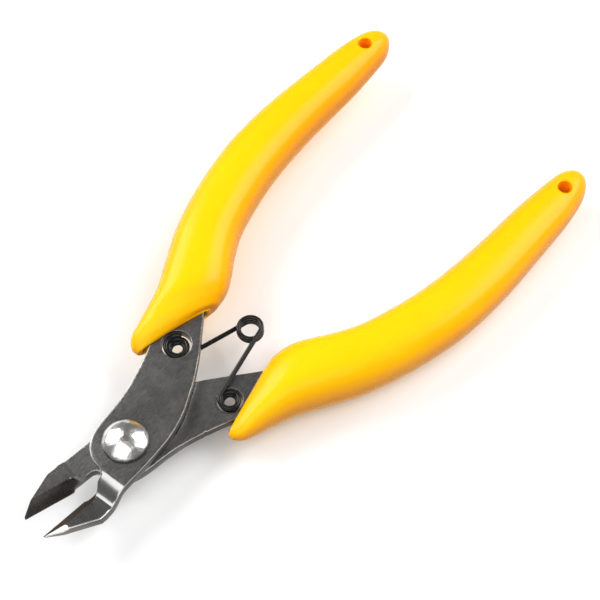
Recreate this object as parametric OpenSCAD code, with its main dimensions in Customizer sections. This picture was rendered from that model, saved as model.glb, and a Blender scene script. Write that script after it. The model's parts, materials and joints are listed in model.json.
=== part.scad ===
// Flush cutter with an angled head: two stamped steel halves on a domed
// rivet, dipped-style plastic grips and a wire torsion return spring.
// Units: millimetres. +Y runs from the pivot toward the handles, +Z is up,
// the tool lies on Z = 0 and is drawn at its open rest position.

/* [Blades] */
// Thickness of the blade steel
steel_t = 2.3; // [2:0.05:2.5]
// Clearance between the two steel halves at the pivot
blade_gap = 0.1; // [0.05:0.01:0.2]
// Total opening angle between the two halves at rest (degrees)
open_angle = 11.5; // [8:0.5:12]
// Upward angle of the cutting head (degrees)
head_angle = 24; // [18:1:25]
// Horizontal width of the bevel ground on each jaw
bevel_w = 1.9; // [1.6:0.1:2.2]
// Distance of each cutting edge from the closing plane
edge_gap = 0.05; // [0.03:0.01:0.15]
// Depth of the relief behind the raised pivot pad
pad_relief = 0.2; // [0.1:0.05:0.3]

/* [Pivot rivet] */
// Diameter of the rivet shank
shank_d = 5; // [4:0.1:5.5]
// Radial running clearance of the upper half on the shank
shank_clear = 0.03; // [0.02:0.01:0.08]
// Diameter of the domed head
dome_d = 8.5; // [8:0.1:9.2]
// Height of the dome
dome_h = 1.8; // [1.4:0.1:2.2]
// Diameter of the formed back head
back_d = 8; // [7:0.1:8.6]
// Height of the formed back head
back_h = 1.1; // [0.8:0.1:1.4]

/* [Return spring] */
// Spring wire diameter
wire_d = 0.9; // [0.7:0.05:0.9]
// Centreline diameter of the main coil
coil_d = 4.35; // [4.2:0.05:4.8]
// Centreline diameter of the two end loops
loop_d = 3.6; // [3.4:0.1:3.8]
// Diameter of the loop hole in the upper half
loop_hole_d = 5.6; // [5.4:0.1:5.8]
// Diameter of the loop hole in the lower half
loop_seat_d = 4.9; // [4.8:0.1:5.2]
// Distance of the main coil from the pivot at rest
coil_y = 32; // [31.5:0.1:32.5]

/* [Grips] */
// Thickness of each grip at its belly
grip_t = 11.4; // [10.8:0.1:11.6]
// Squareness of the grip's cross-section
grip_n = 2.4; // [2.2:0.1:2.8]
// Diameter of the hanging hole at the end of each grip
hang_d = 3; // [2.6:0.1:3.2]

/* [Hidden] */

ha = open_angle / 2;
g = blade_gap / 2;
bend_y = 11;                  // where the head starts to rise
zf = -g - steel_t;            // flush face of the head at the bend
mid = g + steel_t / 2;        // height of each steel half's middle plane
pivot = [0, -40.35, mid + grip_t / 2 - 0.02];
upper_hole = [4.9, 20.4];     // spring loop hole of the upper half
lower_hole = [5.5, 19.5];     // spring loop hole of the lower half
coil_x = 0.3;                 // main coil, off the centreline to the lower half
coil_turns = 2.43;
hang_hole = [16.4, 98];       // hanging hole, measured from the pivot
tb = tan(head_angle);
wr = wire_d / 2;

// smooth curve through hand-set points
function cr(a, b, c, d, t) = 0.5 * (2 * b + (c - a) * t
    + (2 * a - 5 * b + 4 * c - d) * t * t + (3 * b - a - 3 * c + d) * t * t * t);
function smooth(P, n) = [for (i = [0 : len(P) - 2]) for (k = [0 : n - 1])
    cr(P[max(i - 1, 0)], P[i], P[i + 1], P[min(i + 2, len(P) - 1)], k / n),
    P[len(P) - 1]];
function rev(P) = [for (i = [len(P) - 1 : -1 : 0]) P[i]];

// Each half is described once, handle on +X and jaw on -X, pivot at 0,0.
// Outer edge from the front of the pivot boss back to the grip mouth
boss_edge = [[0.6, -6.55], [1.6, -6.35], [3.1, -5.75], [4.5, -4.6], [5.4, -3],
    [5.8, -1], [5.95, 1], [6, 3.5], [6.2, 6.5], [6.65, 9.4], [7.3, 12.2],
    [8.1, 15.1], [9, 17.8]];
// Inner edge from the grip mouth forward to the side of the head
throat_edge = [[5.2, 28.2], [3.4, 25.4], [0.8, 21.4], [-1.7, 17.3],
    [-3.4, 14], [-4.7, 10.8], [-5.4, 8], [-5.8, 5], [-5.85, 2], [-5.7, -2],
    [-5.45, -5.2], [-5.35, -8], [-5.4, -11.6]];
// Outer side of the jaw, tip and cutting edge
jaw_edge = [[-5.2, -12.4], [-2, -19.1], [-0.5, -21.75],
    [-edge_gap, -21.9], [-edge_gap, -12.3]];
// Relief notch behind the cutting edge
notch_edge = [[-0.3, -11.85], [-0.55, -11.3], [-0.55, -8], [-0.45, -7.5],
    [-0.15, -7], [0.2, -6.7]];
// Tang stations inside the grip: outer x, outer y, inner x, inner y
tang = [[9.8, 20.4, 6.3, 30.6], [11.2, 24.6, 7.1, 33.6], [12.9, 29.2, 8.6, 37.2],
    [15, 34.4, 10.6, 41.2], [17.3, 40, 12.6, 45.8], [19.3, 46.3, 14.3, 51],
    [20.9, 53.2, 15.5, 56.4], [21.9, 60.6, 16.3, 61.8], [22.2, 68, 16.6, 68.4],
    [21.7, 76, 16.4, 76], [20.8, 83, 16.1, 83], [20.1, 86.4, 16.6, 86.4]];
function tang_side(i, o, c) = let (s = tang[i],
    d = [s[0] - s[2], s[1] - s[3]], u = d / norm(d))
    o ? [s[0], s[1]] + c * u : [s[2], s[3]] - c * u;
function tang_outer(c) = [for (i = [0 : len(tang) - 1]) tang_side(i, true, c)];
function tang_inner(c) = [for (i = [len(tang) - 1 : -1 : 0]) tang_side(i, false, c)];

half_outline = concat(
    smooth(boss_edge, 4),
    smooth(tang_outer(0), 3),
    smooth(tang_inner(0), 3),
    smooth(throat_edge, 4),
    jaw_edge, notch_edge);

// Side profiles, Y against Z
function head_top(y) = zf + steel_t / cos(head_angle) + (-y - bend_y) * tb;
function head_bottom(y) = zf + (-y - bend_y) * tb;
upper_profile = [[95, g], [-6.9, g], [-7.2, g - 0.06], [-7.6, g - 0.32],
    [-9.6, zf + 0.55], [-10.1, zf + 0.24], [-10.6, zf + 0.07],
    [-11.1, zf + 0.08], [-11.7, head_bottom(-11.7)],
    [-25, head_bottom(-25)], [-25, head_top(-25)],
    [-11.5, head_top(-11.5)], [-11, head_top(-11) + 0.04],
    [-10.5, head_top(-10.5) + 0.22], [-10, head_top(-10) + 0.56],
    [-9.6, head_top(-9.6) + 0.96], [-7.7, g + steel_t - 0.64],
    [-7.3, g + steel_t - 0.3], [-6.9, g + steel_t - 0.08],
    [-6.5, g + steel_t], [95, g + steel_t]];
lower_profile = [[95, zf], [-10.4, zf], [-11.1, zf + 0.08],
    [-11.7, head_bottom(-11.7)], [-25, head_bottom(-25)],
    [-25, head_top(-25)], [-12, head_top(-12)], [-11.4, 0.3],
    [-10.8, 0.08], [-10.2, -g], [95, -g]];

// Grip stations: outer x, outer y, inner x, inner y, half thickness share
grip_st = [
    [10.5, 15, 4.6, 30.4, 0.3], [11.7, 15.3, 4.1, 31.7, 0.44],
    [12.8, 16.7, 4.2, 33.1, 0.6], [13.4, 19, 4.4, 34.6, 0.75],
    [14.1, 22.6, 5.1, 36.7, 0.88], [15.3, 27.2, 6.4, 39.2, 0.95],
    [17.6, 32.4, 8.3, 42.6, 0.985], [20.8, 39.9, 10.5, 47.7, 1],
    [23.4, 49.9, 12.1, 54.8, 1], [24.8, 60.5, 13, 61.6, 0.985],
    [24.8, 68, 13.3, 68.4, 0.965], [24.2, 75.4, 13.2, 75.5, 0.935],
    [23.2, 82.4, 12.8, 82.3, 0.895], [22.3, 88.4, 12.4, 88.1, 0.845],
    [21.5, 93.6, 12.3, 93.2, 0.79], [20.5, 98.1, 12.3, 97.6, 0.725],
    [19.5, 101.1, 12.5, 100.7, 0.65], [18.3, 103, 13.2, 102.7, 0.53],
    [17.1, 104.1, 14.2, 104, 0.34], [16.5, 104.5, 14.8, 104.5, 0.14]];
grip_sides = 28;
function sgnpow(v, p) = v == 0 ? 0 : sign(v) * pow(abs(v), p);

// One solid swept through the grip stations
module grip_body() {
    S = smooth(grip_st, 2);
    n = len(S);
    m = grip_sides;
    pts = [for (s = S) for (k = [0 : m - 1])
        let (a = 360 * (k + 0.5) / m,
             c = [s[0] + s[2], s[1] + s[3]] / 2,
             d = [s[0] - s[2], s[1] - s[3]] / 2,
             p = c + d * sgnpow(cos(a), 2 / grip_n),
             z = s[4] * grip_t / 2 * sgnpow(sin(a), 2 / grip_n))
        [p[0], p[1], z]];
    faces = concat(
        [[for (k = [m - 1 : -1 : 0]) k]],
        [[for (k = [0 : m - 1]) (n - 1) * m + k]],
        [for (i = [0 : n - 2]) for (k = [0 : m - 1]) let (k2 = (k + 1) % m)
            [i * m + k2, (i + 1) * m + k, i * m + k]],
        [for (i = [0 : n - 2]) for (k = [0 : m - 1]) let (k2 = (k + 1) % m)
            [i * m + k2, (i + 1) * m + k2, (i + 1) * m + k]]);
    polyhedron(points = pts, faces = faces, convexity = 6);
}

// Slot in the grip for the tang, wider at the mouth
module tang_slot() {
    translate([0, 0, -steel_t / 2 - 0.03])
        linear_extrude(height = steel_t + 0.06)
            polygon(concat([[6, 6], [8.9, 14.5], [10, 17.2]],
                [for (i = [0 : len(tang) - 1])
                    tang_side(i, true, i == 0 ? 0.75 : i == 1 ? 0.3 : 0.12)],
                [for (i = [len(tang) - 1 : -1 : 0])
                    tang_side(i, false, i == 0 ? 0.8 : i == 1 ? 0.3 : 0.12)],
                [[4.9, 30.4], [4.6, 29], [0, 26]]));
}

module grip() {
    difference() {
        grip_body();
        tang_slot();
        translate([hang_hole[0], hang_hole[1], -8])
            cylinder(h = 16, d = hang_d, $fn = 48);
    }
}

// Plan outline crossed with a side profile
module half_plate(profile) {
    intersection() {
        translate([0, 0, -6]) linear_extrude(height = 14) polygon(half_outline);
        translate([-12, 0, 0]) rotate([90, 0, 90])
            linear_extrude(height = 40) polygon(profile);
    }
}

// Material ground off the top of a jaw to make the bevel
module bevel_cut() {
    intersection() {
        translate([0, -bend_y, zf]) rotate([-head_angle, 0, 0])
            translate([0, 3, 0]) rotate([90, 0, 0])
                linear_extrude(height = 22)
                    polygon([for (k = [-0.3, 2.6])
                        [-edge_gap - k * bevel_w, 0.08 + k * (steel_t - 0.08)],
                        [4, 7], [4, -1]]);
        translate([0, 0, -6]) linear_extrude(height = 20)
            polygon([[-3, -12.1], [3, -6.1], [3, -26], [-9, -26], [-9, -18.1]]);
    }
}

module pose_lower() { translate(pivot) rotate([0, 0, -ha]) children(); }
module pose_upper() { translate(pivot) rotate([0, 0, ha]) mirror([1, 0, 0]) children(); }

module upper_blade() {
    color([0.42, 0.41, 0.4]) pose_upper() difference() {
        half_plate(upper_profile);
        bevel_cut();
        translate([0, 0, -1]) cylinder(h = 6, d = shank_d + 2 * shank_clear, $fn = 64);
        translate([upper_hole[0], upper_hole[1], -1]) cylinder(h = 6, d = loop_hole_d, $fn = 48);
        translate([-10, 7, g - 1]) cube([34, 100, 1 + pad_relief]);
    }
}

module lower_blade() {
    color([0.42, 0.41, 0.4]) pose_lower() difference() {
        half_plate(lower_profile);
        bevel_cut();
        translate([0, 0, -4]) cylinder(h = 6, d = shank_d, $fn = 64);
        translate([lower_hole[0], lower_hole[1], -4]) cylinder(h = 6, d = loop_seat_d, $fn = 48);
        translate([-10, 7, -g - pad_relief]) cube([34, 100, 2]);
        translate([7.45, 12.1, -4]) cylinder(h = 6, r = 0.3, $fn = 24);
    }
}

module pivot_rivet() {
    r = dome_d / 2;
    R = (r * r + dome_h * dome_h) / (2 * dome_h);
    top = g + steel_t + 0.05;
    rb = back_d / 2;
    Rb = (rb * rb + back_h * back_h) / (2 * back_h);
    color([0.82, 0.82, 0.8]) translate(pivot) {
        translate([0, 0, zf]) cylinder(h = top - zf + 0.3, d = shank_d, $fn = 64);
        translate([0, 0, top]) cylinder(h = 0.3, r = r, $fn = 96);
        intersection() {
            translate([0, 0, top + 0.3 + dome_h - R]) sphere(r = R, $fn = 96);
            translate([0, 0, top + 0.2]) cylinder(h = dome_h + 1, r = r, $fn = 96);
        }
        intersection() {
            translate([0, 0, zf - back_h + Rb]) sphere(r = Rb, $fn = 96);
            translate([0, 0, zf - back_h - 1]) cylinder(h = back_h + 1, r = rb, $fn = 96);
        }
    }
}

module upper_grip() {
    color([1, 0.86, 0.05]) pose_upper() translate([0, 0, mid]) grip();
}

module lower_grip() {
    color([1, 0.86, 0.05]) pose_lower() translate([0, 0, -mid]) grip();
}

// Straight round bar between two points
module bar(p, q, r) {
    d = q - p;
    L = norm(d);
    translate(p) rotate([0, acos(d[2] / L), atan2(d[1], d[0])])
        cylinder(h = L, r = r, $fn = 24);
}

module tube(h, dm) {
    difference() {
        cylinder(h = h, d = dm + wire_d + 0.06, $fn = 48);
        translate([0, 0, -1]) cylinder(h = h + 2, d = dm - wire_d - 0.06, $fn = 48);
    }
}

// One arm of the return spring, drawn for the lower half: an end loop in
// its hole, a straight leg and half of the main coil
coil_z = coil_turns * wire_d / 2;
loop_z = g + wr + 0.05;
module spring_arm(hole, cx) {
    w = [hole[0] * cos(ha) + hole[1] * sin(ha), -hole[0] * sin(ha) + hole[1] * cos(ha)];
    v = [cx - w[0], coil_y - w[1]];
    leg_dir = atan2(v[1], v[0]) - asin((coil_d + loop_d) / 2 / norm(v));
    n = [cos(leg_dir - 90), sin(leg_dir - 90)];
    p = [w[0] - n[0] * loop_d / 2, w[1] - n[1] * loop_d / 2, loop_z];
    q = [cx + n[0] * coil_d / 2, coil_y + n[1] * coil_d / 2, coil_z];
    translate([w[0], w[1], loop_z - 2.85]) tube(2.9 + wr, loop_d);
    translate([cx, coil_y, 0.03]) tube(coil_z + 0.02 + wr, coil_d);
    bar(p, q, wr);
}

module spring_lower_arm() {
    color([0.06, 0.06, 0.06]) translate(pivot) spring_arm(lower_hole, coil_x);
}

// The upper half's arm is the same kind of shape turned over
module spring_upper_arm() {
    color([0.06, 0.06, 0.06]) translate(pivot) rotate([0, 180, 0])
        spring_arm(upper_hole, -coil_x);
}

upper_blade();
lower_blade();
pivot_rivet();
upper_grip();
lower_grip();
spring_upper_arm();
spring_lower_arm();
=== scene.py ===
import json
import math

import bpy
import numpy as np
from mathutils import Matrix, Vector
from mathutils.geometry import delaunay_2d_cdt


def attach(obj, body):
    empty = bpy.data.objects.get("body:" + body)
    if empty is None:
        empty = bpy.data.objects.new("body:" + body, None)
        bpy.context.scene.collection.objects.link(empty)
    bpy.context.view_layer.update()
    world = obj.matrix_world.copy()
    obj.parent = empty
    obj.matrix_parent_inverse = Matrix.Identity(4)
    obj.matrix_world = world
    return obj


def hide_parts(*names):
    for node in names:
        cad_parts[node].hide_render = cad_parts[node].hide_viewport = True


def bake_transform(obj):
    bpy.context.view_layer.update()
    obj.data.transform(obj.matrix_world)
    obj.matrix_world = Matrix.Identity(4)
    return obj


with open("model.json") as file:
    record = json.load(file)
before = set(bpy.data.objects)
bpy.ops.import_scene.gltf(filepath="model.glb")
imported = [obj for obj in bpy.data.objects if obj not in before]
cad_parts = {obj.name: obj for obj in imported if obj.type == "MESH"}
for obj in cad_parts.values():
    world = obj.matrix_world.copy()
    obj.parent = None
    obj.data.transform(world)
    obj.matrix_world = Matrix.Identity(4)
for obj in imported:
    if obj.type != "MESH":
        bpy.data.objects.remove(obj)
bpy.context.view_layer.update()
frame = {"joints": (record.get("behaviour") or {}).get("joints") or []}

# ---------------------------------------------------------------- shared sizes, mm
T = 2.3
G = 0.05
OPEN = math.radians(11.5)
HA = OPEN / 2
HEAD = math.radians(24)
TB = math.tan(HEAD)
BEVEL_W = 1.9
EDGE_GAP = 0.05
RELIEF = 0.2
BEND_Y = 11.0
ZF = -G - T
MID = G + T / 2
GRIP_T = 11.4
GRIP_N = 2.4
WIRE = 0.9
COIL_D = 4.35
LOOP_D = 3.6
COIL = np.array([0.3, 32.0])
UP_HOLE = (4.9, 20.4)
LO_HOLE = (5.5, 19.5)
HANG = (16.4, 98.0)
_pv = [j for j in frame["joints"] if j["name"] == "handle_pivot"][0]["pos_m"]
PIVOT = np.array([v * 1000.0 for v in _pv])


def cr(a, b, c, d, t):
    return 0.5 * (2 * b + (c - a) * t + (2 * a - 5 * b + 4 * c - d) * t * t
                  + (3 * b - a - 3 * c + d) * t ** 3)


def smooth(P, n):
    P = np.asarray(P, float)
    out = []
    for i in range(len(P) - 1):
        a, b = P[max(i - 1, 0)], P[i]
        c, d = P[i + 1], P[min(i + 2, len(P) - 1)]
        for k in range(n):
            out.append(cr(a, b, c, d, k / n))
    out.append(P[-1])
    return np.array(out)


def half_to_part(p, upper):
    """Half frame (handle on +x, jaw on -x) to the part's frame, mm."""
    p = np.asarray(p, float)
    c, s = math.cos(HA), math.sin(HA)
    x = p[:, 0] * c + p[:, 1] * s
    y = -p[:, 0] * s + p[:, 1] * c
    if upper:
        x = -x
    return np.stack([x + PIVOT[0], y + PIVOT[1], p[:, 2] + PIVOT[2]], 1)


# ---------------------------------------------------------------- materials
def nt_new(name):
    m = bpy.data.materials.new(name)
    m.use_nodes = True
    nt = m.node_tree
    nt.nodes.clear()
    out = nt.nodes.new("ShaderNodeOutputMaterial")
    b = nt.nodes.new("ShaderNodeBsdfPrincipled")
    nt.links.new(b.outputs[0], out.inputs[0])
    return m, nt, b


def coords(nt, scale=(1, 1, 1), rot=(0, 0, 0), loc=(0, 0, 0)):
    """Object coordinates in millimetres, scaled and turned."""
    tc = nt.nodes.new("ShaderNodeTexCoord")
    mp = nt.nodes.new("ShaderNodeMapping")
    mp.inputs["Scale"].default_value = [1000.0 * v for v in scale]
    mp.inputs["Rotation"].default_value = rot
    mp.inputs["Location"].default_value = loc
    nt.links.new(tc.outputs["Object"], mp.inputs["Vector"])
    return mp.outputs[0]


def noise(nt, vec, scale=1.0, detail=3.0, rough=0.55, dist=0.0):
    n = nt.nodes.new("ShaderNodeTexNoise")
    n.inputs["Scale"].default_value = scale
    n.inputs["Detail"].default_value = detail
    n.inputs["Roughness"].default_value = rough
    n.inputs["Distortion"].default_value = dist
    nt.links.new(vec, n.inputs["Vector"])
    return n.outputs["Fac"]


def ramp(nt, fac, stops):
    r = nt.nodes.new("ShaderNodeValToRGB")
    while len(r.color_ramp.elements) < len(stops):
        r.color_ramp.elements.new(0.5)
    for e, (p, c) in zip(r.color_ramp.elements, stops):
        e.position = p
        e.color = (c, c, c, 1) if isinstance(c, (int, float)) else (*c, 1)
    nt.links.new(fac, r.inputs[0])
    return r.outputs[0]


def mrange(nt, fac, a, b, c, d):
    n = nt.nodes.new("ShaderNodeMapRange")
    for k, v in zip(("From Min", "From Max", "To Min", "To Max"), (a, b, c, d)):
        n.inputs[k].default_value = v
    nt.links.new(fac, n.inputs["Value"])
    return n.outputs[0]


def math_node(nt, op, a, b=None, clamp=False):
    n = nt.nodes.new("ShaderNodeMath")
    n.operation = op
    n.use_clamp = clamp
    for i, v in enumerate((a, b)):
        if v is None:
            continue
        if isinstance(v, (int, float)):
            n.inputs[i].default_value = v
        else:
            nt.links.new(v, n.inputs[i])
    return n.outputs[0]


def mix(nt, fac, a, b, kind="MIX"):
    n = nt.nodes.new("ShaderNodeMix")
    n.data_type = "RGBA"
    n.blend_type = kind
    for key, v in (("Factor", fac), ("A", a), ("B", b)):
        sock = [s for s in n.inputs if s.name == key and s.enabled][0] if key == "Factor" else \
            [s for s in n.inputs if s.name == key and s.type == "RGBA"][0]
        if isinstance(v, (int, float)):
            sock.default_value = v if key == "Factor" else (v, v, v, 1)
        elif isinstance(v, tuple):
            sock.default_value = (*v, 1)
        else:
            nt.links.new(v, sock)
    return [s for s in n.outputs if s.type == "RGBA"][0]


def bump(nt, b, height, strength, distance_mm, prev=None):
    n = nt.nodes.new("ShaderNodeBump")
    n.inputs["Strength"].default_value = strength
    n.inputs["Distance"].default_value = distance_mm / 1000.0
    nt.links.new(height, n.inputs["Height"])
    if prev is not None:
        nt.links.new(prev, n.inputs["Normal"])
    nt.links.new(n.outputs[0], b.inputs["Normal"])
    return n.outputs[0]


def steel(name, lo, hi, r_lo, r_hi, angle, tint=(1.0, 0.985, 0.96), scratch=0.5, rings=None, bends=None, edge=None):
    """Burnished tool steel: soft mottled tone, fine draw lines along the piece and light scratches."""
    m, nt, b = nt_new(name)
    b.inputs["Metallic"].default_value = 1.0
    if edge is not None:
        b.inputs["Specular Tint"].default_value = (*edge, 1)
    big = noise(nt, coords(nt, (0.16, 0.16, 0.16)), 1.0, 2.0, 0.5, 0.4)
    mid = noise(nt, coords(nt, (0.8, 0.8, 0.8), loc=(7, 3, 1)), 1.0, 2.0, 0.5)
    line = noise(nt, coords(nt, (7.0, 0.22, 3.0), rot=(0, 0, angle)), 1.0, 2.0, 0.5)
    fine = noise(nt, coords(nt, (18.0, 0.8, 14.0), rot=(0, 0, angle + 0.12), loc=(3, 9, 2)), 1.0, 2.0, 0.5)
    tone = math_node(nt, "ADD", math_node(nt, "MULTIPLY", big, 0.65), math_node(nt, "MULTIPLY", mid, 0.08))
    tone = math_node(nt, "ADD", tone, math_node(nt, "MULTIPLY", line, 0.27))
    col = ramp(nt, tone, [(0.38, tuple(lo * t for t in tint)), (0.62, tuple(hi * t for t in tint))])
    rt = math_node(nt, "ADD", math_node(nt, "MULTIPLY", mid, 0.25), math_node(nt, "MULTIPLY", fine, 0.75))
    rough = mrange(nt, rt, 0.35, 0.65, r_lo, r_hi)
    if bends is not None:
        # the joggle's bend band is lighter in colour, a painted highlight of the bend with some burnishing, and
        # smoother; measured along the half's own length
        sgn, y0, y1, y2, y3 = bends
        sep = nt.nodes.new("ShaderNodeSeparateXYZ")
        nt.links.new(coords(nt), sep.inputs[0])
        yh = math_node(nt, "ADD", math_node(nt, "MULTIPLY", sep.outputs[0], sgn * math.sin(HA)),
                       math_node(nt, "MULTIPLY", math_node(nt, "SUBTRACT", sep.outputs[1], PIVOT[1]), math.cos(HA)))
        yh = math_node(nt, "ADD", yh, mrange(nt, mid, 0.3, 0.7, -0.12, 0.12))
        tot = math_node(nt, "MULTIPLY", mrange(nt, yh, y0, y1, 0.0, 1.0), mrange(nt, yh, y2, y3, 1.0, 0.0))
        col = mix(nt, tot, col, (0.52, 0.52, 0.515))
        rough = math_node(nt, "MULTIPLY", rough, math_node(nt, "SUBTRACT", 1.0, math_node(nt, "MULTIPLY", tot, 0.55)))
    nt.links.new(col, b.inputs["Base Color"])
    nt.links.new(rough, b.inputs["Roughness"])
    h = math_node(nt, "ADD", math_node(nt, "MULTIPLY", line, 0.6), math_node(nt, "MULTIPLY", fine, 0.4))
    nrm = bump(nt, b, h, scratch, 0.004)
    soft = noise(nt, coords(nt, (0.3, 0.3, 0.3), loc=(1, 5, 2)), 1.0, 1.0, 0.4)
    nrm = bump(nt, b, soft, 0.5, 0.04, nrm)
    if rings is not None:
        # shallow coined rings round the rivet
        sep = nt.nodes.new("ShaderNodeSeparateXYZ")
        mp = coords(nt)
        nt.links.new(mp, sep.inputs[0])
        dx = math_node(nt, "SUBTRACT", sep.outputs[0], rings[0])
        dy = math_node(nt, "SUBTRACT", sep.outputs[1], rings[1])
        rr = math_node(nt, "SQRT", math_node(nt, "ADD", math_node(nt, "MULTIPLY", dx, dx), math_node(nt, "MULTIPLY", dy, dy)))
        wave = math_node(nt, "SINE", math_node(nt, "MULTIPLY", rr, 2 * math.pi / 0.8))
        win = math_node(nt, "MULTIPLY", mrange(nt, rr, 5.2, 5.8, 0.0, 1.0), mrange(nt, rr, 6.8, 7.3, 1.0, 0.0))
        wave = math_node(nt, "MULTIPLY", math_node(nt, "MULTIPLY", wave, win), big)
        bump(nt, b, wave, 0.35, 0.012, nrm)
    return m


def polished(name, centre):
    """Formed rivet head: bright worn dome with peening dents; the rim is darkened as painted shade and made duller.
    """
    m, nt, b = nt_new(name)
    b.inputs["Metallic"].default_value = 1.0
    n1 = noise(nt, coords(nt, (0.8, 0.8, 0.8), loc=(2, 0, 0)), 1.0, 2.0, 0.5)
    n2 = noise(nt, coords(nt, (5, 5, 5)), 1.0, 4.0, 0.6)
    sep = nt.nodes.new("ShaderNodeSeparateXYZ")
    nt.links.new(coords(nt), sep.inputs[0])
    dx = math_node(nt, "SUBTRACT", sep.outputs[0], centre[0])
    dy = math_node(nt, "SUBTRACT", sep.outputs[1], centre[1])
    rr = math_node(nt, "SQRT", math_node(nt, "ADD", math_node(nt, "MULTIPLY", dx, dx), math_node(nt, "MULTIPLY", dy, dy)))
    rr = math_node(nt, "ADD", rr, mrange(nt, n1, 0.3, 0.7, -0.15, 0.15))
    rim = mrange(nt, rr, 3.75, 4.15, 0.0, 1.0)
    eye = mrange(nt, rr, 0.3, 1.5, 1.0, 0.0)
    col = ramp(nt, n1, [(0.35, (0.78, 0.775, 0.75)), (0.65, (0.9, 0.895, 0.88))])
    col = mix(nt, math_node(nt, "MULTIPLY", eye, mrange(nt, n2, 0.4, 0.6, 0.0, 0.7)), col, (0.42, 0.35, 0.28))
    # painted shade: the dome's outer ring is darkened, standing in for the shade at its edge; the higher roughness
    # there is wear
    col = mix(nt, rim, col, (0.13, 0.118, 0.105))
    nt.links.new(col, b.inputs["Base Color"])
    rough = math_node(nt, "ADD", mrange(nt, n2, 0.3, 0.7, 0.19, 0.27), math_node(nt, "MULTIPLY", rim, 0.2))
    nt.links.new(rough, b.inputs["Roughness"])
    nrm = bump(nt, b, n1, 0.6, 0.16)
    dent = math_node(nt, "MULTIPLY", noise(nt, coords(nt, (2.2, 2.2, 2.2), loc=(4, 4, 0)), 1.0, 2.0, 0.5), eye)
    nrm = bump(nt, b, dent, 0.6, 0.12, nrm)
    bump(nt, b, n2, 0.2, 0.015, nrm)
    return m


# painted shade: the grips' steep flanks are darker, by the slope of the surface
FLANK_PAINTED_SHADE = [(0.0, (0.66, 0.44, 0.45)), (0.3, (0.87, 0.60, 0.65)), (0.65, (1.0, 0.86, 1.0)), (1.0, (1.0, 1.0, 1.0))]


def vinyl(name, c_lo, c_hi, painted_shade_stops=None, soft=0.25):
    """Glossy moulded plastic, deep yellow with a faint flow mottle."""
    m, nt, b = nt_new(name)
    n1 = noise(nt, coords(nt, (0.06, 0.06, 0.06)), 1.0, 2.0, 0.5)
    n2 = noise(nt, coords(nt, (2.5, 2.5, 2.5)), 1.0, 3.0, 0.5)
    col = ramp(nt, n1, [(0.3, c_lo), (0.7, c_hi)])
    if painted_shade_stops is not None:
        # painted shade: the colour turns more orange towards the closed ends, standing in for the light falling off
        # there, and is darker on the steep flanks, standing in for their shade
        along = nt.nodes.new("ShaderNodeSeparateXYZ")
        nt.links.new(coords(nt), along.inputs[0])
        col = mix(nt, mrange(nt, along.outputs[1], 8.0, 58.0, 0.0, 1.0), col, (0.96, 0.475, 0.0015))
        # painted shade: darker where the surface is steep, by its object-space normal
        geo = nt.nodes.new("ShaderNodeTexCoord")
        sep = nt.nodes.new("ShaderNodeSeparateXYZ")
        nt.links.new(geo.outputs["Normal"], sep.inputs[0])
        up = math_node(nt, "ABSOLUTE", sep.outputs[2])
        col = mix(nt, 1.0, col, ramp(nt, up, painted_shade_stops), "MULTIPLY")
    nt.links.new(col, b.inputs["Base Color"])
    nt.links.new(mrange(nt, n2, 0.3, 0.7, 0.22, 0.29), b.inputs["Roughness"])
    b.inputs["IOR"].default_value = 1.5
    b.inputs["Specular IOR Level"].default_value = 0.15
    b.inputs["Subsurface Weight"].default_value = soft
    b.inputs["Subsurface Radius"].default_value = (1.0, 0.35, 0.05)
    b.inputs["Subsurface Scale"].default_value = 0.0012
    nrm = bump(nt, b, n2, 0.12, 0.02)
    bump(nt, b, noise(nt, coords(nt, (0.35, 0.35, 0.35)), 1.0, 1.0, 0.4), 0.15, 0.15, nrm)
    return m


def black_wire(name):
    m, nt, b = nt_new(name)
    n = noise(nt, coords(nt, (3, 3, 3)), 1.0, 4.0, 0.6)
    nt.links.new(ramp(nt, n, [(0.35, (0.004, 0.004, 0.005)), (0.7, (0.014, 0.013, 0.012))]), b.inputs["Base Color"])
    nt.links.new(mrange(nt, n, 0.3, 0.7, 0.2, 0.3), b.inputs["Roughness"])
    b.inputs["Specular IOR Level"].default_value = 0.3
    bump(nt, b, n, 0.3, 0.02)
    return m


M_UP = steel("steel_upper", 0.24, 0.36, 0.23, 0.31, HA, scratch=0.2, rings=(PIVOT[0], PIVOT[1]),
             bends=(-1.0, -12.0, -11.4, -6.8, -6.2))
M_LO = steel("steel_lower", 0.235, 0.35, 0.23, 0.31, -HA, scratch=0.2)
M_WALL = steel("steel_side", 0.06, 0.12, 0.30, 0.45, 0.0, tint=(1.0, 0.93, 0.87), scratch=0.6)
M_GROUND = steel("steel_ground", 0.13, 0.20, 0.24, 0.32, math.pi / 2, tint=(1.0, 0.92, 0.84), scratch=0.25)
# painted dark reflection: the upper jaw's ground bevel is a much darker copy of the ground steel, standing in for the
# dark surroundings it reflects
M_GROUND_UP_PAINTED_DARK = steel("steel_ground_upper_painted_dark", 0.035, 0.06, 0.30, 0.40, math.pi / 2, tint=(1.0, 0.92, 0.84), scratch=0.25, edge=(0.55, 0.50, 0.46))
# worn edge and painted highlight: the rounded plate edges and tip facets are lightened, partly rubbed bare steel,
# partly standing in for the highlight along them
M_EDGE = steel("steel_worn_edge_and_painted_highlight", 0.62, 0.85, 0.20, 0.34, 0.0, tint=(1.0, 0.96, 0.93), scratch=0.3)
M_RIVET = polished("rivet_polished", PIVOT)
M_GRIP = vinyl("grip_vinyl", (0.96, 0.545, 0.002), (0.97, 0.58, 0.003), FLANK_PAINTED_SHADE)
# painted light: a deep orange copy of the grip vinyl for the hanging-hole bore, standing in for the warm light inside
# the hole
M_GRIP_HOLE_PAINTED = vinyl("grip_vinyl_hole_painted_light", (1.0, 0.33, 0.002), (1.0, 0.37, 0.003), soft=0.7)
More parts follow.
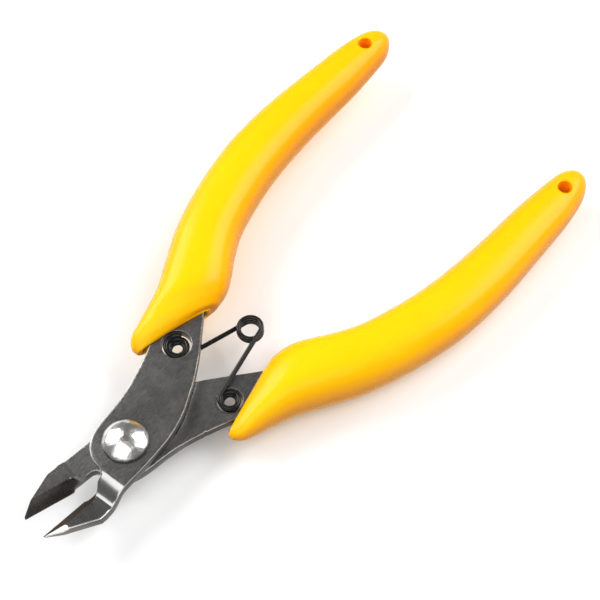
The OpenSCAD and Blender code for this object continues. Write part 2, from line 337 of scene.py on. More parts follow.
# painted shade: a darker red copy of the grip vinyl for the slot and mouth, standing in for the shade inside them
M_GRIP_SLOT_SHADE = vinyl("grip_vinyl_slot_painted_shade", (0.62, 0.10, 0.003), (0.70, 0.13, 0.004))
M_WIRE = black_wire("spring_black")


# ---------------------------------------------------------------- mesh helpers
def piece(name, verts_mm, faces, body, nodes, mats, fmat=None, sharp_deg=28, flip=False):
    me = bpy.data.meshes.new(name)
    v = np.asarray(verts_mm, float) / 1000.0
    if flip:
        faces = [tuple(reversed(f)) for f in faces]
    me.from_pydata([tuple(p) for p in v], [], [tuple(int(i) for i in f) for f in faces])
    for m in mats:
        me.materials.append(m)
    if fmat is not None:
        me.polygons.foreach_set("material_index", np.asarray(fmat, np.int32))
    me.validate()
    me.update()
    me.polygons.foreach_set("use_smooth", [True] * len(me.polygons))
    me.set_sharp_from_angle(angle=math.radians(sharp_deg))
    ob = bpy.data.objects.new(name, me)
    bpy.context.scene.collection.objects.link(ob)
    if nodes:
        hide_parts(*nodes)
    if body:
        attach(ob, body)
    return ob


def pchip(xs, ys, q):
    """Monotone smooth curve through points."""
    xs, ys = np.asarray(xs, float), np.asarray(ys, float)
    h = np.diff(xs)
    d = np.diff(ys) / h
    m = np.zeros(len(xs))
    for i in range(1, len(xs) - 1):
        if d[i - 1] * d[i] > 0:
            w1, w2 = 2 * h[i] + h[i - 1], h[i] + 2 * h[i - 1]
            m[i] = (w1 + w2) / (w1 / d[i - 1] + w2 / d[i])
    m[0], m[-1] = d[0], d[-1]
    i = np.clip(np.searchsorted(xs, q) - 1, 0, len(xs) - 2)
    t = (q - xs[i]) / h[i]
    return (ys[i] * (1 + 2 * t) * (1 - t) ** 2 + h[i] * m[i] * t * (1 - t) ** 2
            + ys[i + 1] * t * t * (3 - 2 * t) + h[i] * m[i + 1] * t * t * (t - 1))


# ---------------------------------------------------------------- blades
BOSS = [[0.6, -6.55], [1.6, -6.35], [3.1, -5.75], [4.5, -4.6], [5.4, -3], [5.8, -1], [5.95, 1], [6, 3.5],
        [6.2, 6.5], [6.65, 9.4], [7.3, 12.2], [8.1, 15.1], [9, 17.8]]
THROAT = [[5.2, 28.2], [3.4, 25.4], [0.8, 21.4], [-1.7, 17.3], [-3.4, 14], [-4.7, 10.8], [-5.4, 8], [-5.8, 5],
          [-5.85, 2], [-5.7, -2], [-5.45, -5.2], [-5.35, -8], [-5.4, -11.6]]
JAW_UP = [[-5.5, -12.2], [-5.5, -13.4], [-2.4, -19.3], [-0.5, -21.75], [-EDGE_GAP, -21.9], [-EDGE_GAP, -12.3]]
JAW_LO = [[-5.15, -12.0], [-4.8, -14.0], [-1.6, -19.75], [-0.5, -21.75], [-EDGE_GAP, -21.9], [-EDGE_GAP, -12.3]]
NOTCH = [[-0.3, -11.85], [-0.55, -11.3], [-0.55, -8], [-0.45, -7.5], [-0.15, -7], [0.2, -6.7]]
TANG = [[9.8, 20.4, 6.3, 30.6], [11.2, 24.6, 7.1, 33.6], [12.9, 29.2, 8.6, 37.2], [15, 34.4, 10.6, 41.2],
        [17.3, 40, 12.6, 45.8], [19.3, 46.3, 14.3, 51], [20.9, 53.2, 15.5, 56.4], [21.9, 60.6, 16.3, 61.8],
        [22.2, 68, 16.6, 68.4], [21.7, 76, 16.4, 76], [20.8, 83, 16.1, 83], [20.1, 86.4, 16.6, 86.4]]


THROAT_UP = [[4.82, 28.44], [3.02, 25.64], [0.42, 21.64], [-1.9, 17.45]] + THROAT[4:]


def outline(throat, jaw):
    to = smooth([[s[0], s[1]] for s in TANG], 3)
    ti = smooth([[s[2], s[3]] for s in reversed(TANG)], 3)
    parts = [smooth(BOSS, 8), to, ti, smooth(throat, 8), np.array(jaw, float), smooth(NOTCH, 5)]
    return np.vstack(parts)


def resample(P, step_fn):
    """Closed polygon, every long edge cut to the wanted spacing; corners are kept."""
    out = []
    n = len(P)
    for i in range(n):
        a, b = P[i], P[(i + 1) % n]
        L = np.linalg.norm(b - a)
        k = max(1, int(math.ceil(L / step_fn((a + b) / 2))))
        for j in range(k):
            out.append(a + (b - a) * j / k)
    return np.array(out)


def seg_dist(pts, loop, chunk=4000):
    a = loop
    b = np.roll(loop, -1, 0)
    ab = b - a
    L2 = (ab ** 2).sum(1) + 1e-12
    out = np.empty(len(pts))
    for i in range(0, len(pts), chunk):
        p = pts[i:i + chunk, None, :]
        t = np.clip(((p - a) * ab).sum(2) / L2, 0, 1)
        q = a + ab * t[..., None]
        out[i:i + chunk] = np.sqrt(((p - q) ** 2).sum(2).min(1))
    return out


def inside(pts, loop):
    x, y = pts[:, 0], pts[:, 1]
    r = np.zeros(len(pts), bool)
    n = len(loop)
    for i in range(n):
        x1, y1 = loop[i]
        x2, y2 = loop[(i + 1) % n]
        if y1 == y2:
            continue
        c = ((y1 > y) != (y2 > y)) & (x < (x2 - x1) * (y - y1) / (y2 - y1) + x1)
        r ^= c
    return r


def inset(loop, d, inward=1.0):
    """Loop moved by d along its own normals."""
    prev, nxt = np.roll(loop, 1, 0), np.roll(loop, -1, 0)
    e1, e2 = loop - prev, nxt - loop
    e1 /= np.linalg.norm(e1, axis=1)[:, None] + 1e-12
    e2 /= np.linalg.norm(e2, axis=1)[:, None] + 1e-12
    n1 = np.stack([-e1[:, 1], e1[:, 0]], 1)
    n2 = np.stack([-e2[:, 1], e2[:, 0]], 1)
    nn = n1 + n2
    nn /= np.linalg.norm(nn, axis=1)[:, None] + 1e-12
    k = 1.0 / np.maximum((nn * n1).sum(1), 0.45)
    return loop + inward * nn * (d * k)[:, None]


def head_bottom(y):
    return ZF + (-y - BEND_Y) * TB


def head_top(y):
    return ZF + T / math.cos(HEAD) + (-y - BEND_Y) * TB


def z_bevel(q):
    """Bevel ground on the jaw, running out in a scoop."""
    x, y = q[:, 0], q[:, 1]
    run = np.maximum(y - (x - 9.35), 0)
    zp = 0.08 + (-EDGE_GAP - x) * (T - 0.08) / BEVEL_W + run * 0.35 + run ** 2 * 1.6
    return np.where(y < -8.5, head_bottom(y) + zp / math.cos(HEAD), 99.0)


class Facet:
    """Small ground facet along the outer side of the tip, from a to b."""

    def __init__(self, a, b, start, rise):
        self.a, self.b, self.s0, self.rise = np.array(a), np.array(b), start, rise
        self.len = np.linalg.norm(self.b - self.a)
        self.u = (self.b - self.a) / self.len
        self.n = np.array([-self.u[1], self.u[0]])
        if (np.array([0.0, -19.0]) - self.a) @ self.n < 0:
            self.n = -self.n

    def z(self, q):
        e = np.maximum((q - self.a) @ self.n, 0)
        along = (q - self.a) @ self.u
        f0 = 0.45 + (self.len - along) * self.rise
        over = np.maximum(self.s0 - along, 0)
        z = head_bottom(q[:, 1]) + (f0 + e * 0.6 + over * 2.5) / math.cos(HEAD)
        return np.where(q[:, 1] < -17, z, 99.0)

    def point(self, s_, e):
        return self.a + self.u * s_ + self.n * e

    def crease(self):
        out = []
        for s_ in np.concatenate([np.linspace(self.s0 - 0.3, self.s0, 6), np.linspace(self.s0 + 0.12, self.len - 0.05, 27)]):
            lo_e, hi_e = 0.0, 2.4
            for _ in range(30):
                e = 0.5 * (lo_e + hi_e)
                q = self.point(s_, e)[None, :]
                if self.z(q)[0] < min(head_top(q[0, 1]), z_bevel(q)[0]):
                    lo_e = e
                else:
                    hi_e = e
            out.append(self.point(s_, e))
        return np.array(out)


FACET_UP = Facet([-2.4, -19.3], [-0.5, -21.75], -1.0, 0.33)
FACET_LO = Facet([-1.6, -19.75], [-0.5, -21.75], 0.0, 0.62)


def scoop_crease():
    out = []
    for x in np.linspace(-EDGE_GAP - BEVEL_W, -0.5, 14):
        a_, b_ = -13.0, -7.5
        for _ in range(30):
            y = 0.5 * (a_ + b_)
            if z_bevel(np.array([[x, y]]))[0] < head_top(y):
                a_ = y
            else:
                b_ = y
        out.append((x, y))
    return np.array(out)


def blade(name, upper, hole, hole_d, mat_face, node, body):
    out0 = outline(THROAT_UP, JAW_UP) if upper else outline(THROAT, JAW_LO)
    area = 0.5 * np.sum(out0[:, 0] * np.roll(out0[:, 1], -1) - np.roll(out0[:, 0], -1) * out0[:, 1])
    if area < 0:
        out0 = out0[::-1]
    step = lambda p: 0.16 if p[1] < -5.5 else (0.3 if p[1] < 30 else 1.2)
    loop = resample(out0, step)
    if not upper:      # small nick in the outer edge
        c = np.array([7.45, 12.1])
        extra = resample(loop, lambda p: 0.06 if np.linalg.norm(p - c) < 1.2 else 9)
        dd = extra - c
        L = np.linalg.norm(dd, axis=1)
        inn = np.array([-0.96, 0.25])
        m = L < 0.3
        for i in np.where(m)[0]:
            t = math.sqrt(max(0.09 - (dd[i] @ np.array([inn[1], -inn[0]])) ** 2, 0))
            extra[i] = c + inn * t + np.array([inn[1], -inn[0]]) * (dd[i] @ np.array([inn[1], -inn[0]]))
        loop = extra

    holes = [(np.array([hole[0], hole[1]]), hole_d / 2), (np.array([0.0, 0.0]), 2.55)]
    R = 0.17
    fr = [R * (1 - math.cos(math.radians(a))) for a in (0, 20, 40, 60, 90)]
    pts, edges = [], []

    def add_loop(P, closed=True):
        s = len(pts)
        pts.extend([tuple(p) for p in P])
        n = len(P)
        edges.extend([(s + i, s + (i + 1) % n) for i in range(n if closed else n - 1)])

    for d in fr:
        add_loop(inset(loop, d))
    hl = []
    for c, r in holes:
        a = np.linspace(0, 2 * np.pi, 97)[:-1]
        circ = np.stack([np.cos(a), np.sin(a)], 1)
        hl.append(c + circ * r)
        for d in fr + [R + 0.12]:
            add_loop(c + circ * (r + d))
    # creases and bands
    def add_line(a, b, step_):
        n = max(2, int(np.linalg.norm(np.subtract(b, a)) / step_))
        q = np.array([np.add(a, np.subtract(b, a) * t) for t in np.linspace(0, 1, n)])
        add_loop(q, closed=False)
    xc = -EDGE_GAP - BEVEL_W
    add_line((xc, -11.3), (xc, -20.2), 0.2)
    facet = FACET_UP if upper else FACET_LO
    fc_ = facet.crease()
    add_loop(fc_, closed=False)
    add_line(facet.point(facet.s0, 0.0), fc_[5], 0.15)
    if not upper:
        add_loop(scoop_crease(), closed=False)
    ys = [-6.2, -6.4, -6.6, -6.8, -7.0, -7.2, -7.4, -7.6, -7.8, -8.0, -8.25, -8.5, -8.75, -9.0, -9.25, -9.5, -9.75, -10.0, -10.2, -10.4, -10.6, -10.8, -11.0, -11.25, -11.5, -11.75, -12.0]
    for y in ys:
        add_line((-7, y), (1.2, y), 0.3)
    add_line((-7.5, 6.93), (9, 6.93), 0.35)
    add_line((-7.5, 7.07), (9, 7.07), 0.35)

    # fill points
    grid = []
    for (x0, x1, y0, y1, h) in ((-6.2, 0.8, -22, -6.0, 0.17), (-6.5, 9.0, -6.6, 16, 0.42), (-6.5, 24, 16, 40, 0.55), (6, 24, 40, 88, 2.0)):
        r = 0
        y = y0
        while y < y1:
            xs = np.arange(x0 + (h / 2 if r % 2 else 0), x1, h)
            grid.append(np.stack([xs, np.full(len(xs), y)], 1))
            y += h * 0.866
            r += 1
    grid = np.vstack(grid)
    grid = grid[inside(grid, loop)]
    grid = grid[seg_dist(grid, loop) > R + 0.1]
    for (c, r), hlp in zip(holes, hl):
        grid = grid[np.linalg.norm(grid - c, axis=1) > r + R + 0.24]
    pts.extend([tuple(p) for p in grid])

    v2, _, tris, _, _, _ = delaunay_2d_cdt([Vector(p) for p in pts], edges, [], 0, 1e-5)
    P = np.array([[v.x, v.y] for v in v2])
    tri = np.array([t for t in tris if len(t) == 3])
    cen = P[tri].mean(1)
    keep = inside(cen, loop)
    for c, r in holes:
        keep &= np.linalg.norm(cen - c, axis=1) > r * math.cos(math.pi / 96)
    tri = tri[keep]
    # counter-clockwise
    A = P[tri]
    ar = (A[:, 1, 0] - A[:, 0, 0]) * (A[:, 2, 1] - A[:, 0, 1]) - (A[:, 1, 1] - A[:, 0, 1]) * (A[:, 2, 0] - A[:, 0, 0])
    tri = tri[np.abs(ar) > 1e-9]
    ar = ar[np.abs(ar) > 1e-9]
    tri[ar < 0] = tri[ar < 0][:, ::-1]
    used = np.unique(tri)
    remap = -np.ones(len(P), int)
    remap[used] = np.arange(len(used))
    P = P[used]
    tri = remap[tri]

    x, y = P[:, 0], P[:, 1]
    d_out = seg_dist(P, loop)
    d_h = np.full(len(P), 99.0)
    for c, r in holes:
        d_h = np.minimum(d_h, np.abs(np.linalg.norm(P - c, axis=1) - r))
    d = np.minimum(d_out, d_h)
    if upper:
        top_pts = [(-25, head_top(-25)), (-13, head_top(-13)), (-12, head_top(-12)), (-11.5, 0.405), (-11, 0.255), (-10.5, 0.22),
                   (-10, 0.375), (-9.5, 0.69), (-9, 1.08), (-8.5, 1.465), (-8, 1.80), (-7.5, 2.055), (-7, 2.22), (-6.5, 2.32), (-6, G + T), (95, G + T)]
        bot_pts = [(-25, head_bottom(-25)), (-13, head_bottom(-13)), (-11.7, head_bottom(-11.7)), (-11.1, ZF + 0.08), (-10.6, ZF + 0.07),
                   (-10.1, ZF + 0.2), (-9.6, ZF + 0.46), (-7.8, G - 0.5), (-7.3, G - 0.12), (-6.9, G), (95, G)]
    else:
        top_pts = [(-25, head_top(-25)), (-12.6, head_top(-12.6)), (-12, head_top(-12)), (-11.4, 0.3), (-10.8, 0.08), (-10.2, -G), (95, -G)]
        bot_pts = [(-25, head_bottom(-25)), (-13, head_bottom(-13)), (-11.7, head_bottom(-11.7)), (-11.1, ZF + 0.08), (-10.4, ZF), (95, ZF)]
    zt = pchip(*zip(*top_pts), y)
    zb = pchip(*zip(*bot_pts), y)
    step7 = np.clip((y - 6.93) / 0.14, 0, 1)
    if upper:
        zb = zb + RELIEF * step7
    else:
        zt = zt - RELIEF * step7
    zt = np.minimum(zt, z_bevel(P))
    zt = np.minimum(zt, facet.z(P))

    th = np.maximum(zt - zb, 0.01)
    r_t = np.minimum(R, 0.42 * th)
    r_b = np.minimum(0.12, 0.42 * th)

    def drop(dist, r):
        q = np.clip(1 - dist / r, 0, 1)
        return r * (1 - np.sqrt(np.maximum(1 - q * q, 0)))
    zt = zt - drop(d, r_t)
    zb = zb + drop(d, r_b)

    n = len(P)
    V = np.vstack([np.column_stack([P, zt]), np.column_stack([P, zb])])
    faces = [tuple(t) for t in tri]
    c = tri
    Q = P[c].mean(1)
    z_flat = pchip(*zip(*top_pts), Q[:, 1])
    zb_, zf_ = z_bevel(Q), facet.z(Q)
    ctr_bev = (zb_ < z_flat - 1e-4) & (zb_ <= zf_)
    ctr_fac = zf_ < np.minimum(z_flat, zb_)
    fm = [3 if fc else (1 if bv else 0) for bv, fc in zip(ctr_bev, ctr_fac)]
    rim = (d[c] <= R * 0.7).all(1)
    # the painted edge highlight is kept off the upper half's edges in this quarter
    dull = (Q[:, 0] > 0) & (Q[:, 1] > 0) if upper else np.zeros(len(Q), bool)
    fm = [3 if r_ and not u_ and f_ != 1 else f_ for r_, u_, f_ in zip(rim, dull, fm)]
    faces += [tuple(n + t[::-1]) for t in tri]
    fm += [0] * len(tri)
    # walls
    cnt = {}
    for t in tri:
        for i in range(3):
            a_, b_ = int(t[i]), int(t[(i + 1) % 3])
            cnt[(a_, b_)] = 1
    for (a_, b_) in list(cnt):
        if (b_, a_) not in cnt:
            faces.append((a_, n + a_, n + b_, b_))
            fm.append(2)
    W = half_to_part(V, upper)
    return piece(name, W, faces, body, [node], [mat_face, M_GROUND_UP_PAINTED_DARK if upper else M_GROUND, M_WALL, M_EDGE], fm, sharp_deg=24, flip=upper)


blade("upper_blade_steel", True, UP_HOLE, 5.6, M_UP, "upper_blade", "upper_half")
blade("lower_blade_steel", False, LO_HOLE, 4.9, M_LO, "lower_blade", "lower_half")


# ---------------------------------------------------------------- rivet
def lathe(name, prof, seg, body, nodes, mat, centre):
    prof = np.asarray(prof, float)
    a = np.linspace(0, 2 * np.pi, seg + 1)[:-1]
    V, F = [], []
    for r, z in prof:
        for t in a:
            V.append((centre[0] + r * math.cos(t), centre[1] + r * math.sin(t), centre[2] + z))
    n = len(prof)
    for i in range(n - 1):
        for k in range(seg):
            k2 = (k + 1) % seg
            F.append((i * seg + k, i * seg + k2, (i + 1) * seg + k2, (i + 1) * seg + k))
    F.append(tuple(range(seg))[::-1])
    F.append(tuple((n - 1) * seg + k for k in range(seg)))
    return piece(name, V, F, body, nodes, [mat], sharp_deg=40)


def rivet():
    r, h = 4.25, 1.8
    R = (r * r + h * h) / (2 * h)
    top = G + T + 0.05
    rb, hb = 4.0, 1.1
    Rb = (rb * rb + hb * hb) / (2 * hb)
    prof = []
    for t in np.linspace(0.02, 1, 22):          # back head, centre outwards
        q = rb * 0.97 * t
        prof.append((q, ZF - hb + Rb - math.sqrt(Rb * Rb - q * q)))
    prof += [(rb, ZF - 0.1), (rb, ZF), (2.5, ZF), (2.5, top), (r - 0.25, top), (r - 0.1, top + 0.02), (r - 0.02, top + 0.09), (r, top + 0.18), (r - 0.01, top + 0.27)]
    m0 = math.asin(r / R)
    for t in np.linspace(0.97, 0.006, 34):
        q = R * math.sin(m0 * t)
        prof.append((q, top + 0.3 + h - R + R * math.cos(m0 * t)))
    return lathe("pivot_rivet_steel", prof, 128, "lower_half", ["pivot_rivet"], M_RIVET, PIVOT)


rivet()

# ---------------------------------------------------------------- grips
ST = [[13.4, 19, 4.4, 34.6, 0.75],
      [14.1, 22.6, 5.1, 36.7, 0.88], [15.3, 27.2, 6.4, 39.2, 0.95], [17.6, 32.4, 8.3, 42.6, 0.985], [20.8, 39.9, 10.5, 47.7, 1],
      [23.4, 49.9, 12.1, 54.8, 1], [24.8, 60.5, 13, 61.6, 0.985], [24.8, 68, 13.3, 68.4, 0.965], [24.2, 75.4, 13.2, 75.5, 0.935],
      [23.2, 82.4, 12.8, 82.3, 0.895], [22.3, 88.4, 12.4, 88.1, 0.845], [21.5, 93.6, 12.3, 93.2, 0.79], [20.5, 98.1, 12.3, 97.6, 0.725],
      [19.5, 101.1, 12.5, 100.7, 0.65], [18.3, 103, 13.2, 102.7, 0.53], [17.1, 104.1, 14.2, 104, 0.34], [16.5, 104.5, 14.8, 104.5, 0.14]]
# front ends: the two halves' ears are moulded a little differently
ST_UP = [[9.9, 14.75, 4.6, 30.4, 0.36], [11.35, 14.95, 4.1, 31.7, 0.52], [12.75, 16.5, 4.2, 33.1, 0.66]] + ST
ST_LO = [[10.5, 15, 4.6, 30.4, 0.33], [11.7, 15.25, 4.1, 31.7, 0.48], [12.8, 16.65, 4.2, 33.1, 0.63]] + ST


def sgnpow(v, p):
    return np.sign(v) * np.abs(v) ** p


def grip(name, upper):
    NR = 6
    S = smooth(ST_UP if upper else ST_LO, NR)
    m = 80
    ang = 2 * np.pi * (np.arange(m) + 0.5) / m

    def ring(st, h=None, n=GRIP_N, push=0.0, k=1.0):
        c = np.array([(st[0] + st[2]) / 2, (st[1] + st[3]) / 2])
        d = np.array([(st[0] - st[2]) / 2, (st[1] - st[3]) / 2]) * k
        fwd = np.array([d[1], -d[0]]) / np.linalg.norm(d)
        if fwd[1] > 0:
            fwd = -fwd
        h = st[4] * GRIP_T / 2 if h is None else h
        q = c + fwd * push + d * sgnpow(np.cos(ang), 2 / n)[:, None]
        return np.column_stack([q, h * sgnpow(np.sin(ang), 2 / n)])

    rings = []
    # slot for the tang, deepest first
    slot_st = []
    for i, s in enumerate(TANG):
        co, ci = (1.5, 0.8) if i == 0 else (0.3, 0.3) if i == 1 else (0.12, 0.12)
        o, q = np.array(s[:2]), np.array(s[2:])
        u = (o - q) / np.linalg.norm(o - q)
        o, q = o + co * u, q - ci * u
        slot_st.append([o[0], o[1], q[0], q[1]])
    sm = smooth(slot_st, 2)[::-1]
    for s in sm:
        rings.append(ring(list(s) + [0], h=T / 2 + 0.03, n=12))
    r0 = S[0]
    mouth = [r0[0] + (r0[2] - r0[0]) * 0.075, r0[1] + (r0[3] - r0[1]) * 0.075, r0[2] + (r0[0] - r0[2]) * 0.075, r0[3] + (r0[1] - r0[3]) * 0.075, 0]
    rings.append(ring(mouth, h=T / 2 + 0.03, n=9, push=0.0))
    rings.append(ring(mouth, h=T / 2 + 0.07, n=7, push=0.10, k=1.01))
    mm = [(a + 0.45 * (b - a)) for a, b in zip(mouth[:4], r0[:4])] + [0]
    rings.append(ring(mm, h=T / 2 + 0.26, n=4, push=0.2))
    mm = [(a + 0.85 * (b - a)) for a, b in zip(mouth[:4], r0[:4])] + [0]
    rings.append(ring(mm, h=T / 2 + 0.47, n=2.8, push=0.12))
    first = len(rings)
    for s in S:
        rings.append(ring(s, h=s[4] * GRIP_T / 2 * 0.995, k=0.9934))
    ns = len(rings)
    V = np.vstack(rings)
    # hole block, in rings and around
    def face_ok(i, k):
        return True
    sidx = lambda i: first + i
    # station rows that bracket the hole
    cen = (S[:, :2] + S[:, 2:4]) / 2
    hs = np.array(HANG)
    i_near = int(np.argmin(np.linalg.norm(cen - hs, axis=1)))
    i0, i1 = i_near - 4, i_near + 5
    while np.linalg.norm(cen[i0] - hs) < 2.7:
        i0 -= 1
    while np.linalg.norm(cen[i1] - hs) < 2.7:
        i1 += 1
    kt = [k for k in range(m) if math.sin(ang[k]) > 0 and abs(sgnpow(np.cos(ang[k]), 2 / GRIP_N)) < 0.74]
    k0, k1 = min(kt), max(kt)
    faces = []
    skip = set()
    for i in range(i0, i1):
        for k in range(k0, k1):
            skip.add((sidx(i), k))
            skip.add((sidx(i), (m - 1 - k - 1) % m))
    for i in range(ns - 1):
        for k in range(m):
            if (i, k) in skip:
                continue
            k2 = (k + 1) % m
            faces.append((i * m + k, (i + 1) * m + k, (i + 1) * m + k2, i * m + k2))
    faces.append(tuple(range(m)))
    faces.append(tuple((ns - 1) * m + k for k in range(m - 1, -1, -1)))

    # surface height at any plan point near the hole
    def surf(xy):
        s = np.full(len(xy), float(i_near))
        tau = np.zeros(len(xy))
        idx = np.arange(len(S))
        for _ in range(12):
            s = np.clip(s, 0, len(S) - 1.001)
            i = s.astype(int)
            f = (s - i)[:, None]
            st = S[i] * (1 - f) + S[i + 1] * f
            ds = S[i + 1] - S[i]
            c = (st[:, :2] + st[:, 2:4]) / 2
            d = (st[:, :2] - st[:, 2:4]) / 2
            dc = (ds[:, :2] + ds[:, 2:4]) / 2
            dd = (ds[:, :2] - ds[:, 2:4]) / 2
            r = c + d * tau[:, None] - xy
            J11, J21 = (dc + dd * tau[:, None]).T
            J12, J22 = d.T
            det = J11 * J22 - J12 * J21
            s = s - (r[:, 0] * J22 - r[:, 1] * J12) / det
            tau = tau - (J11 * r[:, 1] - J21 * r[:, 0]) / det
        s = np.clip(s, 0, len(S) - 1.001)
        i = s.astype(int)
        f = s - i
        h = (S[i, 4] * (1 - f) + S[i + 1, 4] * f) * GRIP_T / 2
        return h * np.maximum(1 - np.abs(tau) ** GRIP_N, 0) ** (1 / GRIP_N)

    V = list(map(tuple, V))
    rim = [(sidx(i0), k) for k in range(k0, k1)] + [(sidx(i), k1) for i in range(i0, i1)] + \
          [(sidx(i1), k) for k in range(k1, k0, -1)] + [(sidx(i), k0) for i in range(i1, i0, -1)]
    nb = len(rim)
    hole_faces = []
    for side in (1, -1):
        if side == 1:
            loop_idx = [i * m + k for i, k in rim]
        else:
            loop_idx = [i * m + (m - 1 - k) for i, k in rim]
        b = np.array([V[j][:2] for j in loop_idx])
        dirs = b - hs
        th = np.arctan2(dirs[:, 1], dirs[:, 0])
        circ = np.stack([np.cos(th), np.sin(th)], 1)
        RF, HR = 0.5, 1.35
        prev = loop_idx
        rows = []
        for w in (0.25, 0.5, 0.75, 1.0):
            xy = b * (1 - w) + (hs + circ * (HR + RF)) * w
            rows.append(np.column_stack([xy, side * surf(xy)]))
        base = surf(hs + circ * (HR + RF))
        for fi in (22, 45, 67, 90):
            f_ = math.radians(fi)
            xy = hs + circ * (HR + RF * (1 - math.sin(f_)))
            tilt = surf(hs + circ * (HR + RF)) * (1 - math.sin(f_)) + np.full(nb, base.mean()) * math.sin(f_)
            rows.append(np.column_stack([xy, side * (tilt - RF * (1 - math.cos(f_)))]))
        rows.append(np.column_stack([hs + circ * HR, np.zeros(nb)]))
        for ri, rw in enumerate(rows):
            s0 = len(V)
            V.extend(map(tuple, rw))
            cur = list(range(s0, s0 + nb))
            for q in range(nb):
                q2 = (q + 1) % nb
                f_ = (prev[q], prev[q2], cur[q2], cur[q])
                if ri >= 8:
                    hole_faces.append(len(faces))
                faces.append(f_ if side == 1 else f_[::-1])
            prev = cur
    V = np.array(V)
    V[:, 2] += MID if upper else -MID
    W = half_to_part(V, upper)
    me_faces = faces
    # the slot and mouth faces take the painted-shade copy of the vinyl
    slot_v = (first - 5) * m
    fm = [1 if max(f) < slot_v else 0 for f in me_faces]
    # the hole bore takes the painted-light copy of the vinyl
    for q in hole_faces:
        fm[q] = 2
    ob = piece(name, W, me_faces, "upper_half" if upper else "lower_half", ["upper_grip" if upper else "lower_grip"],
               [M_GRIP, M_GRIP_SLOT_SHADE, M_GRIP_HOLE_PAINTED], fm, sharp_deg=50, flip=False)
    # orient outward
    import bmesh
    bm = bmesh.new()
    bm.from_mesh(ob.data)
    bmesh.ops.remove_doubles(bm, verts=bm.verts, dist=1e-7)
    bmesh.ops.recalc_face_normals(bm, faces=bm.faces)
    bm.to_mesh(ob.data)
    bm.free()
    return ob


grip("upper_grip_sleeve", True)
grip("lower_grip_sleeve", False)


# ---------------------------------------------------------------- spring
def sweep(path, r, seg=20, cap_round=True):
    """Round wire along a path, with slightly rounded cut ends. Returns verts, faces."""
    path = np.asarray(path, float)
    n = len(path)
    tan = np.gradient(path, axis=0)
    tan /= np.linalg.norm(tan, axis=1)[:, None]
    up = np.array([0, 0, 1.0])
    V, F = [], []
    a = np.linspace(0, 2 * np.pi, seg + 1)[:-1]
    rows = []
    for i in range(n):
        s = np.cross(tan[i], up)
        s /= np.linalg.norm(s)
        u = np.cross(s, tan[i])
        rows.append((path[i], tan[i], s, u))
    prof = [(0, 1.0)]
    allr = []
    if cap_round:
        allr.append((rows[0], -0.10 * r, 0.55))
        allr.append((rows[0], -0.07 * r, 0.85))
    allr += [(q, 0.0, 1.0) for q in rows]
    if cap_round:
        allr.append((rows[-1], 0.07 * r, 0.85))
        allr.append((rows[-1], 0.10 * r, 0.55))
    for (p, t, s, u), off, k in allr:
        for x in a:
            V.append(p + t * off + (s * math.cos(x) + u * math.sin(x)) * r * k)
    N = len(allr)
    for i in range(N - 1):
        for k in range(seg):
            k2 = (k + 1) % seg
            F.append((i * seg + k, (i + 1) * seg + k, (i + 1) * seg + k2, i * seg + k2))
    F.append(tuple(range(seg)))
    F.append(tuple((N - 1) * seg + k for k in range(seg - 1, -1, -1)))
    return np.array(V), F


def arm_path(hole, cx, radii, turns=2.65):
    """Loop in the hole, then the straight leg to the coil, lower half's side; pivot at the origin."""
    c, s = math.cos(HA), math.sin(HA)
    w = np.array([hole[0] * c + hole[1] * s, -hole[0] * s + hole[1] * c])
    k = np.array([cx, COIL[1]])
    v = k - w
    leg = math.atan2(v[1], v[0]) - math.asin((COIL_D + LOOP_D) / 2 / np.linalg.norm(v))
    n = np.array([math.cos(leg - math.pi / 2), math.sin(leg - math.pi / 2)])
    zl = G + WIRE / 2 + 0.05
    cz = 2.43 * WIRE / 2
    a_end = math.atan2(-n[1], -n[0])
    pts = []
    N = int(turns * 44)
    for i in range(N + 1):
        t = i / N
        a = a_end + (1 - t) * turns * 2 * math.pi        # clockwise toward the leg
        drop = (1 - t) * turns * (WIRE + 0.01)
        rr = float(pchip(*zip(*radii), np.array([t]))[0])
        pts.append((w[0] + rr * math.cos(a), w[1] + rr * math.sin(a), zl - drop))
    p = np.array([w[0] - n[0] * LOOP_D / 2, w[1] - n[1] * LOOP_D / 2, zl])
    q = np.array([k[0] + n[0] * COIL_D / 2, k[1] + n[1] * COIL_D / 2, cz])
    M = 26
    for i in range(1, M + 1):
        t = i / M
        e = t * t * (3 - 2 * t)
        pts.append(tuple(np.array([*(p[:2] + (q[:2] - p[:2]) * t), p[2] + (q[2] - p[2]) * e])))
    return np.array(pts), math.atan2(n[1], n[0])


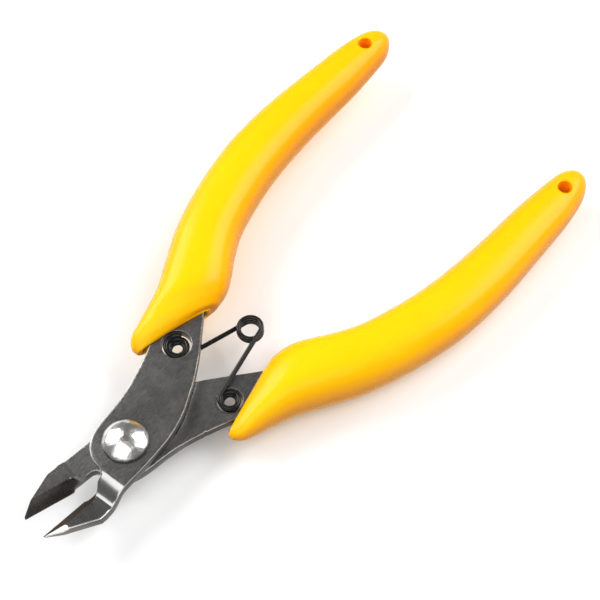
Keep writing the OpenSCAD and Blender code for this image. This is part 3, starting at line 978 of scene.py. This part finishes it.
def spring():
    lo, a_lo = arm_path(LO_HOLE, COIL[0], [(0, 1.42), (0.5, 1.5), (0.85, LOOP_D / 2), (1, LOOP_D / 2)])
    up, a_up = arm_path(UP_HOLE, -COIL[0], [(0, 2.1), (0.2, 2.08), (0.4, 1.8), (0.62, 1.42), (0.85, 1.42), (0.93, 1.62), (1, LOOP_D / 2)])
    cz = 2.43 * WIRE / 2
    # upper arm is turned over about Y
    up = up * np.array([-1, 1, -1])
    a_up = math.atan2(math.sin(a_up), -math.cos(a_up))
    span = (a_up - a_lo) % (2 * math.pi) + 4 * math.pi
    N = 150
    coil = []
    for i in range(N + 1):
        t = i / N
        a = a_lo + span * t
        coil.append((COIL[0] + COIL_D / 2 * math.cos(a), COIL[1] + COIL_D / 2 * math.sin(a), cz * (1 - 2 * t)))
    coil = np.array(coil)
    print("coil turns", span / 2 / math.pi)
    # a short common stretch keeps the joins smooth
    lo2 = np.vstack([lo, coil[1:3]])
    up2 = np.vstack([up, coil[::-1][1:3]])
    for nm, path, body, node in (("spring_lower_leg", lo2, "spring_lower", "spring_lower_arm"), ("spring_upper_leg", up2, "spring_upper", "spring_upper_arm")):
        V, F = sweep(path, WIRE / 2)
        piece(nm, V + PIVOT, F, body, [node], [M_WIRE], sharp_deg=35)
    V, F = sweep(coil, WIRE / 2)
    ob = piece("spring_coil", V + PIVOT, F, None, [], [M_WIRE], sharp_deg=35)
    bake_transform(ob)
    return ob


spring()

# ---------------------------------------------------------------- floor, light, camera
def floor():
    me = bpy.data.meshes.new("floor")
    s = 3.0
    me.from_pydata([(-s, -s, 0), (s, -s, 0), (s, s, 0), (-s, s, 0)], [], [(0, 1, 2, 3)])
    ob = bpy.data.objects.new("floor", me)
    bpy.context.scene.collection.objects.link(ob)
    ob.location.z = -0.00003
    m, nt, b = nt_new("floor_paper")
    n = noise(nt, coords(nt, (0.02, 0.02, 0.02)), 1.0, 2.0, 0.5)
    nt.links.new(ramp(nt, n, [(0.3, (0.87, 0.87, 0.87)), (0.7, (0.89, 0.89, 0.89))]), b.inputs["Base Color"])
    b.inputs["Roughness"].default_value = 0.75
    b.inputs["Specular IOR Level"].default_value = 0.25
    me.materials.append(m)


floor()

RIGHT = Vector((0.742, 0.670, 0.0))      # image right, in the part's frame
BACK = Vector((-0.670, 0.742, 0.0))      # away from the camera
UP = Vector((0, 0, 1))


def panel(name, az, el, dist, sx, sy, power, color=(1, 1, 1), spread=180):
    """Area light: az 0 is image right, 90 is away from the camera; el above the horizon."""
    a, e = math.radians(az), math.radians(el)
    d = RIGHT * (math.cos(a) * math.cos(e)) + BACK * (math.sin(a) * math.cos(e)) + UP * math.sin(e)
    L = bpy.data.lights.new(name, "AREA")
    L.shape = "RECTANGLE"
    L.size, L.size_y = sx, sy
    L.energy = power
    L.color = color
    L.spread = math.radians(spread)
    ob = bpy.data.objects.new(name, L)
    bpy.context.scene.collection.objects.link(ob)
    ob.location = d * dist
    ob.rotation_mode = "QUATERNION"
    ob.rotation_quaternion = d.to_track_quat("Z", "Y")
    return ob


panel("top_soft", 245, 56, 0.85, 0.86, 0.86, 3.9)
panel("left_soft", 150, 36, 0.75, 0.50, 0.50, 4.9)
panel("right_soft", 22, 41, 0.75, 0.64, 0.52, 5.4)

w = bpy.data.worlds.new("world")
bpy.context.scene.world = w
w.use_nodes = True
bg = w.node_tree.nodes.get("Background") or w.node_tree.nodes.new("ShaderNodeBackground")
bg.inputs[0].default_value = (1.0, 1.0, 1.0, 1)
bg.inputs[1].default_value = 0.16

rx, ry, rz = math.radians(-28.9), math.radians(-0.64), math.radians(-42.06)
Rm = Matrix.Rotation(rx, 3, "X") @ Matrix.Rotation(ry, 3, "Y") @ Matrix.Rotation(rz, 3, "Z")
# the view was measured with the pivot at (0, -40.6, 6.9) mm
C0 = Vector((0.0, 0.00025, PIVOT[2] / 1000.0))
tcam = Vector((-0.00388, 0.00025, -0.23915))
RT = Rm.transposed()
cam = bpy.data.cameras.new("camera")
cam.sensor_width = 36.0
cam.lens = 36.0 * 1250.18 / 600.0
cam.clip_start, cam.clip_end = 0.01, 10.0
co = bpy.data.objects.new("camera", cam)
bpy.context.scene.collection.objects.link(co)
loc = C0 - RT @ tcam
co.matrix_world = Matrix.Translation(loc) @ RT.to_4x4()
bpy.context.scene.camera = co
bpy.context.scene.view_settings.view_transform = "Standard"
